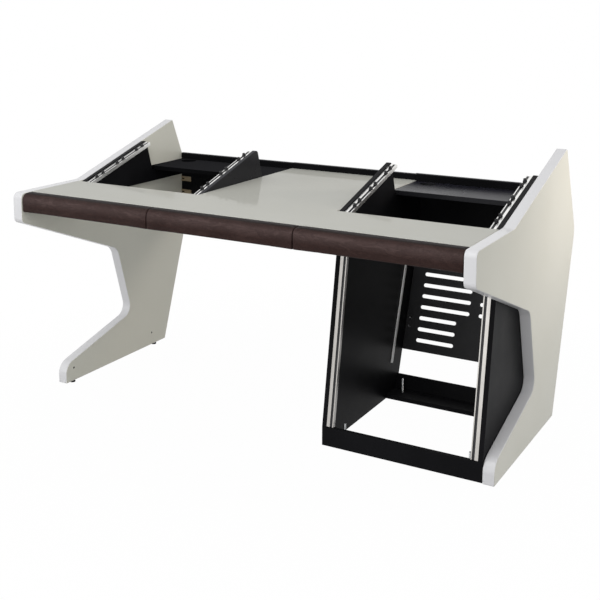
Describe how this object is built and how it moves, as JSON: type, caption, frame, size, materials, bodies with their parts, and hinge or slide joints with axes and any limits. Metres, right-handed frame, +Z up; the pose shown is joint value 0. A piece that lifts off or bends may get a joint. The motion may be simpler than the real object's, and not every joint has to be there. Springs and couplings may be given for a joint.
{
  "type": "studio desk",
  "caption": "Studio desk with K-shaped side panels, padded leather front edge, sloping rack bays in the top, rear cable shelves and a standing rack under its right side.",
  "frame": {"origin": "on the floor under the middle of the desk, at the centre of its length and depth", "axes": "+X to the right of the person who sits at the desk, +Y to the rear, +Z up"},
  "size_m": [1.65, 0.9816, 0.9054],
  "materials": {
    "side_lacquer": "white lacquer on board, satin gloss",
    "desktop_lacquer": "white lacquer on board, high gloss",
    "armrest_leather": "dark brown smooth leather over foam",
    "rail_aluminium": "natural anodised extrusion",
    "rear_rail_aluminium": "natural anodised flat bar",
    "black_screw_strip": "black oxide, with plastic cup washers",
    "zinc_bracket": "yellow passivated zinc plating",
    "foot_plastic": "matt black",
    "foot_steel": "bright zinc plating",
    "vent_steel": "black powder coat",
    "shelf_board": "black laminated board, satin",
    "black_board": "black laminated board, satin"
  },
  "bodies": {
    "desk_frame": {"armrest_batten": "black_board", "armrest_pad_centre": "armrest_leather", "armrest_pad_left": "armrest_leather", "armrest_pad_right": "armrest_leather", "back_board_centre": "black_board", "back_board_left": "black_board", "back_board_right": "black_board", "bay_cheek_left_inner": "black_board", "bay_cheek_left_outer": "black_board", "bay_left_rail_left": "rail_aluminium", "bay_left_rail_right": "rail_aluminium", "bay_left_screws_left": "black_screw_strip", "bay_left_screws_right": "black_screw_strip", "bay_right_rail_left": "rail_aluminium", "bay_right_rail_right": "rail_aluminium", "bay_right_screws_left": "black_screw_strip", "bay_right_screws_right": "black_screw_strip", "bracket_left_lower": "zinc_bracket", "bracket_left_upper": "zinc_bracket", "bracket_right_lower": "zinc_bracket", "bracket_right_upper": "zinc_bracket", "desktop": "desktop_lacquer", "rack_front_nuts_left": "black_screw_strip", "rack_front_nuts_right": "black_screw_strip", "rack_front_rail_left": "rail_aluminium", "rack_front_rail_right": "rail_aluminium", "rack_plinth_front": "black_board", "rack_plinth_rear": "black_board", "rack_rear_rail_left": "rear_rail_aluminium", "rack_rear_rail_right": "rear_rail_aluminium", "rack_side_left": "black_board", "rack_side_right": "black_board", "rack_strip_front": "black_board", "rack_strip_rear": "black_board", "rack_vent_panel": "vent_steel", "rear_shelf_left": "shelf_board", "rear_shelf_right": "shelf_board", "side_panel_left": "side_lacquer", "side_panel_right": "side_lacquer"},
    "foot_panel_left_front": {"foot_panel_left_front_pad": "foot_plastic"},
    "foot_panel_left_front_screw": {"foot_panel_left_front_stem": "foot_steel"},
    "foot_panel_left_rear": {"foot_panel_left_rear_pad": "foot_plastic"},
    "foot_panel_left_rear_screw": {"foot_panel_left_rear_stem": "foot_steel"},
    "foot_panel_right_front": {"foot_panel_right_front_pad": "foot_plastic"},
    "foot_panel_right_front_screw": {"foot_panel_right_front_stem": "foot_steel"},
    "foot_panel_right_rear": {"foot_panel_right_rear_pad": "foot_plastic"},
    "foot_panel_right_rear_screw": {"foot_panel_right_rear_stem": "foot_steel"},
    "foot_rack_left_front": {"foot_rack_left_front_pad": "foot_plastic"},
    "foot_rack_left_front_screw": {"foot_rack_left_front_stem": "foot_steel"},
    "foot_rack_left_rear": {"foot_rack_left_rear_pad": "foot_plastic"},
    "foot_rack_left_rear_screw": {"foot_rack_left_rear_stem": "foot_steel"},
    "foot_rack_right_front": {"foot_rack_right_front_pad": "foot_plastic"},
    "foot_rack_right_front_screw": {"foot_rack_right_front_stem": "foot_steel"},
    "foot_rack_right_rear": {"foot_rack_right_rear_pad": "foot_plastic"},
    "foot_rack_right_rear_screw": {"foot_rack_right_rear_stem": "foot_steel"}
  },
  "joints": [
    {"name": "foot_panel_left_front_height", "type": "slide", "parent": "desk_frame", "child": "foot_panel_left_front", "axis": [0, 0, -1], "range_m": [-0.003, 0.012]},
    {"name": "foot_panel_left_front_turn", "type": "hinge", "parent": "foot_panel_left_front", "child": "foot_panel_left_front_screw", "pos_m": [-0.8005, -0.2498, 0.02], "axis": [0, 0, -1], "range_deg": [-864, 3456]},
    {"name": "foot_panel_left_rear_height", "type": "slide", "parent": "desk_frame", "child": "foot_panel_left_rear", "axis": [0, 0, -1], "range_m": [-0.003, 0.012]},
    {"name": "foot_panel_left_rear_turn", "type": "hinge", "parent": "foot_panel_left_rear", "child": "foot_panel_left_rear_screw", "pos_m": [-0.8005, 0.2342, 0.02], "axis": [0, 0, -1], "range_deg": [-864, 3456]},
    {"name": "foot_panel_right_front_height", "type": "slide", "parent": "desk_frame", "child": "foot_panel_right_front", "axis": [0, 0, -1], "range_m": [-0.003, 0.012]},
    {"name": "foot_panel_right_front_turn", "type": "hinge", "parent": "foot_panel_right_front", "child": "foot_panel_right_front_screw", "pos_m": [0.8005, -0.2498, 0.02], "axis": [0, 0, -1], "range_deg": [-864, 3456]},
    {"name": "foot_panel_right_rear_height", "type": "slide", "parent": "desk_frame", "child": "foot_panel_right_rear", "axis": [0, 0, -1], "range_m": [-0.003, 0.012]},
    {"name": "foot_panel_right_rear_turn", "type": "hinge", "parent": "foot_panel_right_rear", "child": "foot_panel_right_rear_screw", "pos_m": [0.8005, 0.2342, 0.02], "axis": [0, 0, -1], "range_deg": [-864, 3456]},
    {"name": "foot_rack_left_front_height", "type": "slide", "parent": "desk_frame", "child": "foot_rack_left_front", "axis": [0, 0, -1], "range_m": [-0.003, 0.012]},
    {"name": "foot_rack_left_front_turn", "type": "hinge", "parent": "foot_rack_left_front", "child": "foot_rack_left_front_screw", "pos_m": [0.31765, -0.2428, 0.02], "axis": [0, 0, -1], "range_deg": [-864, 3456]},
    {"name": "foot_rack_left_rear_height", "type": "slide", "parent": "desk_frame", "child": "foot_rack_left_rear", "axis": [0, 0, -1], "range_m": [-0.003, 0.012]},
    {"name": "foot_rack_left_rear_turn", "type": "hinge", "parent": "foot_rack_left_rear", "child": "foot_rack_left_rear_screw", "pos_m": [0.31765, 0.1992, 0.02], "axis": [0, 0, -1], "range_deg": [-864, 3456]},
    {"name": "foot_rack_right_front_height", "type": "slide", "parent": "desk_frame", "child": "foot_rack_right_front", "axis": [0, 0, -1], "range_m": [-0.003, 0.012]},
    {"name": "foot_rack_right_front_turn", "type": "hinge", "parent": "foot_rack_right_front", "child": "foot_rack_right_front_screw", "pos_m": [0.73165, -0.2428, 0.02], "axis": [0, 0, -1], "range_deg": [-864, 3456]},
    {"name": "foot_rack_right_rear_height", "type": "slide", "parent": "desk_frame", "child": "foot_rack_right_rear", "axis": [0, 0, -1], "range_m": [-0.003, 0.012]},
    {"name": "foot_rack_right_rear_turn", "type": "hinge", "parent": "foot_rack_right_rear", "child": "foot_rack_right_rear_screw", "pos_m": [0.73165, 0.1992, 0.02], "axis": [0, 0, -1], "range_deg": [-864, 3456]}
  ],
  "couplings": [
    {"joint": "foot_panel_left_front_turn", "follows": "foot_panel_left_front_height", "rad_per_m": 5026.5},
    {"joint": "foot_panel_left_rear_turn", "follows": "foot_panel_left_rear_height", "rad_per_m": 5026.5},
    {"joint": "foot_panel_right_front_turn", "follows": "foot_panel_right_front_height", "rad_per_m": 5026.5},
    {"joint": "foot_panel_right_rear_turn", "follows": "foot_panel_right_rear_height", "rad_per_m": 5026.5},
    {"joint": "foot_rack_left_front_turn", "follows": "foot_rack_left_front_height", "rad_per_m": 5026.5},
    {"joint": "foot_rack_left_rear_turn", "follows": "foot_rack_left_rear_height", "rad_per_m": 5026.5},
    {"joint": "foot_rack_right_front_turn", "follows": "foot_rack_right_front_height", "rad_per_m": 5026.5},
    {"joint": "foot_rack_right_rear_turn", "follows": "foot_rack_right_rear_height", "rad_per_m": 5026.5}
  ]
}
